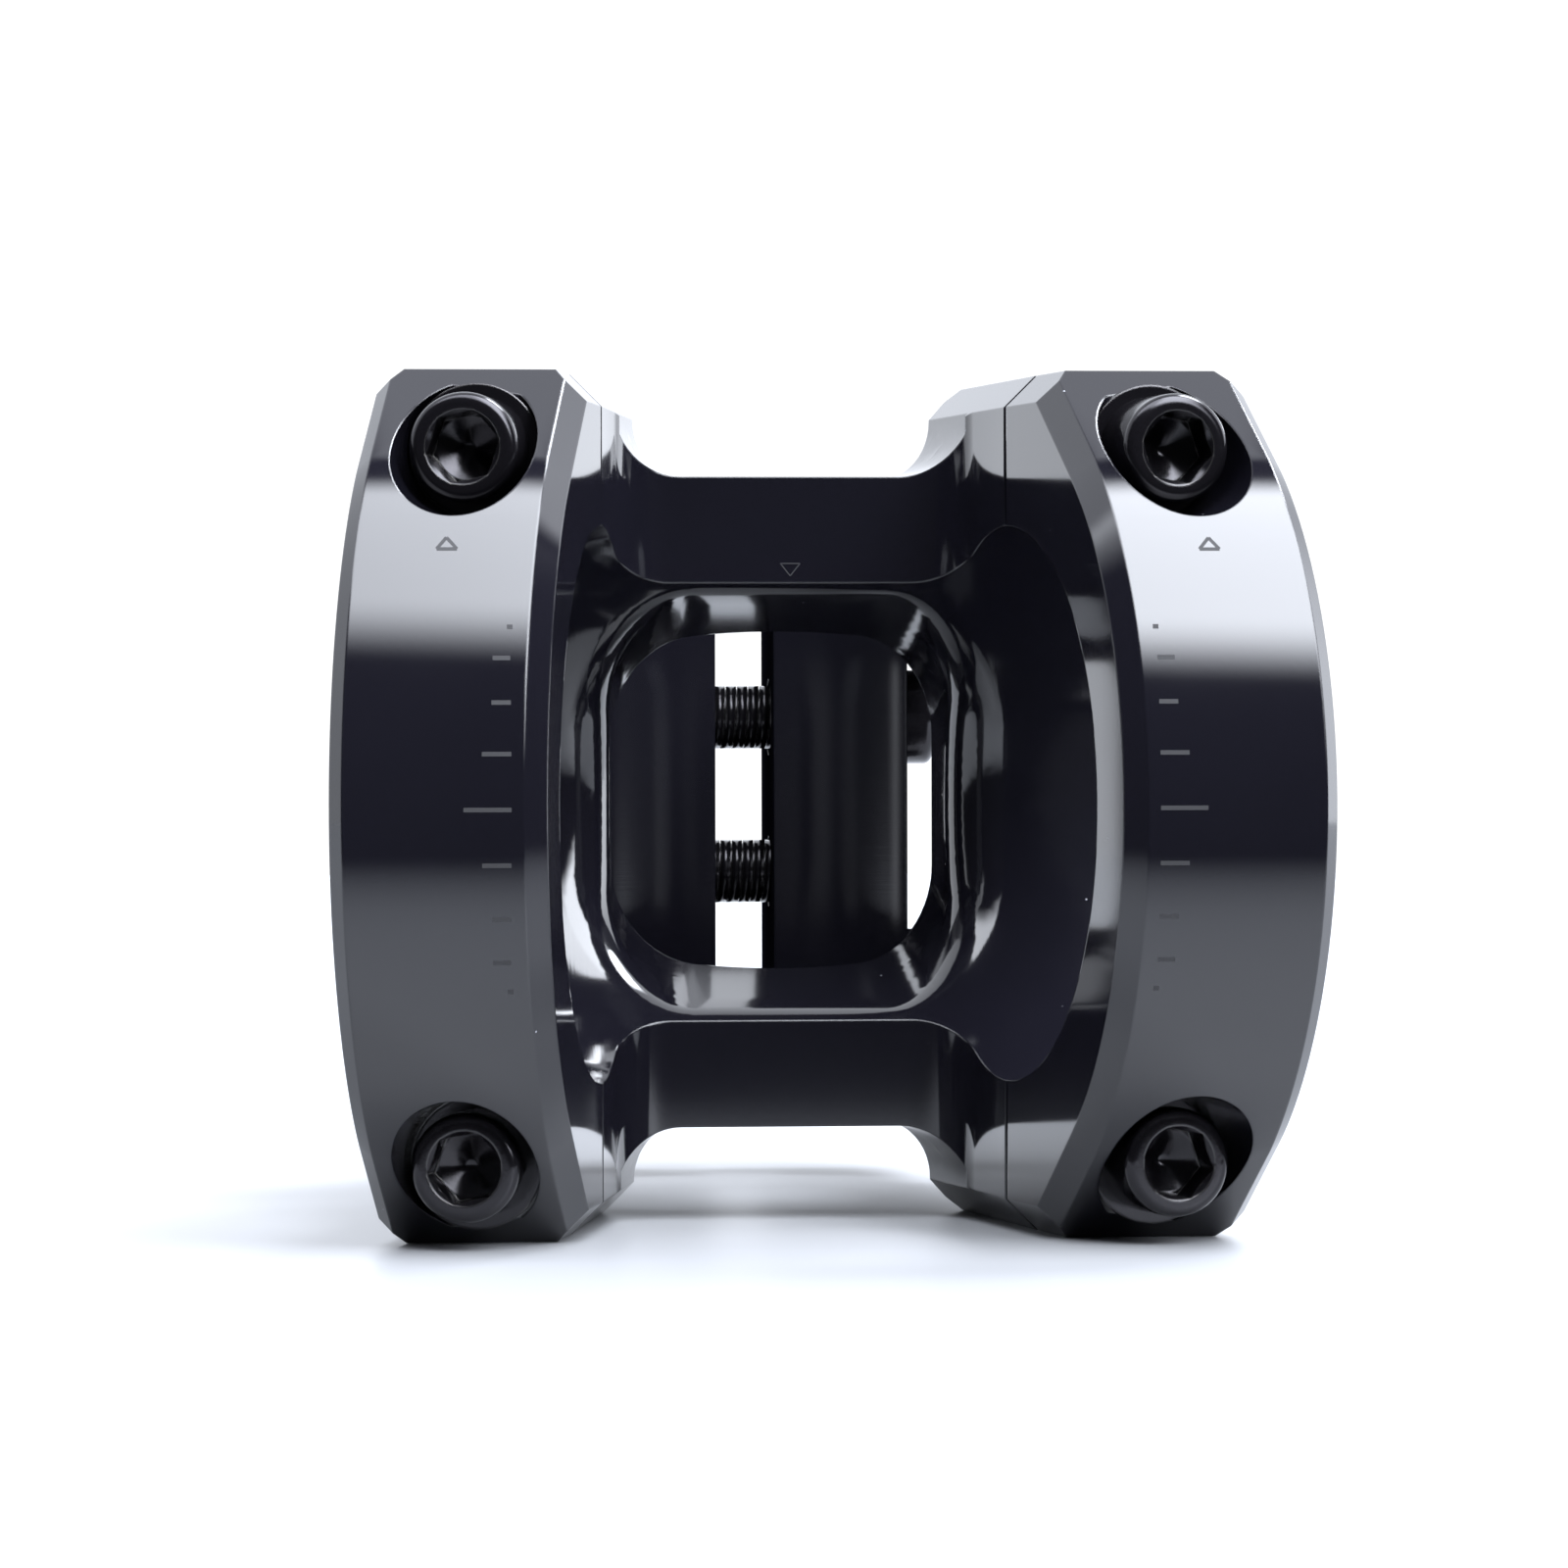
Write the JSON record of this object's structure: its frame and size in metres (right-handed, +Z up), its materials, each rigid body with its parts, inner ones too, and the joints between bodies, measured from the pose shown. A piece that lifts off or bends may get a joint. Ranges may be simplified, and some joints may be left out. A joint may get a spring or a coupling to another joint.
{
  "type": "handlebar stem",
  "caption": "Short machined bicycle stem with a split steerer clamp, an open window and separate faceplates held by cap bolts.",
  "frame": {"origin": "on the steerer axis at the stem's mid-height", "axes": "+Z up the steerer, +X along the handlebar, -Y forwards to the handlebar"},
  "size_m": [0.0602, 0.0832, 0.054],
  "materials": {
    "anodised_body": "polished black anodised",
    "anodised_caps": "polished black anodised",
    "black_bolts": "black coated steel",
    "black_washers": "black coated steel"
  },
  "bodies": {
    "stem": {"stem_body": "anodised_body"},
    "right_cap": {"right_faceplate": "anodised_caps"},
    "right_upper_washer": {"right_upper_faceplate_washer": "black_washers"},
    "right_upper_bolt": {"right_upper_faceplate_bolt": "black_bolts"},
    "right_lower_washer": {"right_lower_faceplate_washer": "black_washers"},
    "right_lower_bolt": {"right_lower_faceplate_bolt": "black_bolts"},
    "left_cap": {"left_faceplate": "anodised_caps"},
    "left_upper_washer": {"left_upper_faceplate_washer": "black_washers"},
    "left_upper_bolt": {"left_upper_faceplate_bolt": "black_bolts"},
    "left_lower_washer": {"left_lower_faceplate_washer": "black_washers"},
    "left_lower_bolt": {"left_lower_faceplate_bolt": "black_bolts"},
    "upper_pinch_washer_carrier": {"upper_pinch_washer": "black_washers"},
    "upper_pinch_bolt": {"upper_pinch_bolt": "black_bolts"},
    "lower_pinch_washer_carrier": {"lower_pinch_washer": "black_washers"},
    "lower_pinch_bolt": {"lower_pinch_bolt": "black_bolts"}
  },
  "joints": [
    {"name": "right_cap_lift", "type": "slide", "parent": "stem", "child": "right_cap", "axis": [0.1961, -0.9806, 0], "range_m": [0, 0.02]},
    {"name": "right_upper_bolt_out", "type": "slide", "parent": "right_cap", "child": "right_upper_washer", "axis": [0.1961, -0.9806, 0], "range_m": [0, 0.024]},
    {"name": "right_upper_bolt_turn", "type": "hinge", "parent": "right_upper_washer", "child": "right_upper_bolt", "pos_m": [0.0203, -0.04, 0.0219], "axis": [0.1961, -0.9806, 0], "range_deg": [0, 10801]},
    {"name": "right_lower_bolt_out", "type": "slide", "parent": "right_cap", "child": "right_lower_washer", "axis": [0.1961, -0.9806, 0], "range_m": [0, 0.024]},
    {"name": "right_lower_bolt_turn", "type": "hinge", "parent": "right_lower_washer", "child": "right_lower_bolt", "pos_m": [0.0203, -0.04, -0.0219], "axis": [0.1961, -0.9806, 0], "range_deg": [0, 10801]},
    {"name": "left_cap_lift", "type": "slide", "parent": "stem", "child": "left_cap", "axis": [-0.1961, -0.9806, 0], "range_m": [0, 0.02]},
    {"name": "left_upper_bolt_out", "type": "slide", "parent": "left_cap", "child": "left_upper_washer", "axis": [-0.1961, -0.9806, 0], "range_m": [0, 0.024]},
    {"name": "left_upper_bolt_turn", "type": "hinge", "parent": "left_upper_washer", "child": "left_upper_bolt", "pos_m": [-0.0203, -0.04, 0.0219], "axis": [-0.1961, -0.9806, 0], "range_deg": [0, 10801]},
    {"name": "left_lower_bolt_out", "type": "slide", "parent": "left_cap", "child": "left_lower_washer", "axis": [-0.1961, -0.9806, 0], "range_m": [0, 0.024]},
    {"name": "left_lower_bolt_turn", "type": "hinge", "parent": "left_lower_washer", "child": "left_lower_bolt", "pos_m": [-0.0203, -0.04, -0.0219], "axis": [-0.1961, -0.9806, 0], "range_deg": [0, 10801]},
    {"name": "upper_pinch_bolt_out", "type": "slide", "parent": "stem", "child": "upper_pinch_washer_carrier", "axis": [1, 0, 0], "range_m": [0, 0.022]},
    {"name": "upper_pinch_bolt_turn", "type": "hinge", "parent": "upper_pinch_washer_carrier", "child": "upper_pinch_bolt", "pos_m": [0.008, 0.019, 0.0055], "axis": [1, 0, 0], "range_deg": [0, 9901]},
    {"name": "lower_pinch_bolt_out", "type": "slide", "parent": "stem", "child": "lower_pinch_washer_carrier", "axis": [-1, 0, 0], "range_m": [0, 0.022]},
    {"name": "lower_pinch_bolt_turn", "type": "hinge", "parent": "lower_pinch_washer_carrier", "child": "lower_pinch_bolt", "pos_m": [-0.008, 0.019, -0.0055], "axis": [-1, 0, 0], "range_deg": [0, 9901]}
  ],
  "couplings": [
    {"joint": "right_upper_bolt_turn", "follows": "right_upper_bolt_out", "rad_per_m": 7854},
    {"joint": "right_lower_bolt_turn", "follows": "right_lower_bolt_out", "rad_per_m": 7854},
    {"joint": "left_upper_bolt_turn", "follows": "left_upper_bolt_out", "rad_per_m": 7854},
    {"joint": "left_lower_bolt_turn", "follows": "left_lower_bolt_out", "rad_per_m": 7854},
    {"joint": "upper_pinch_bolt_turn", "follows": "upper_pinch_bolt_out", "rad_per_m": 7854},
    {"joint": "lower_pinch_bolt_turn", "follows": "lower_pinch_bolt_out", "rad_per_m": 7854}
  ]
}
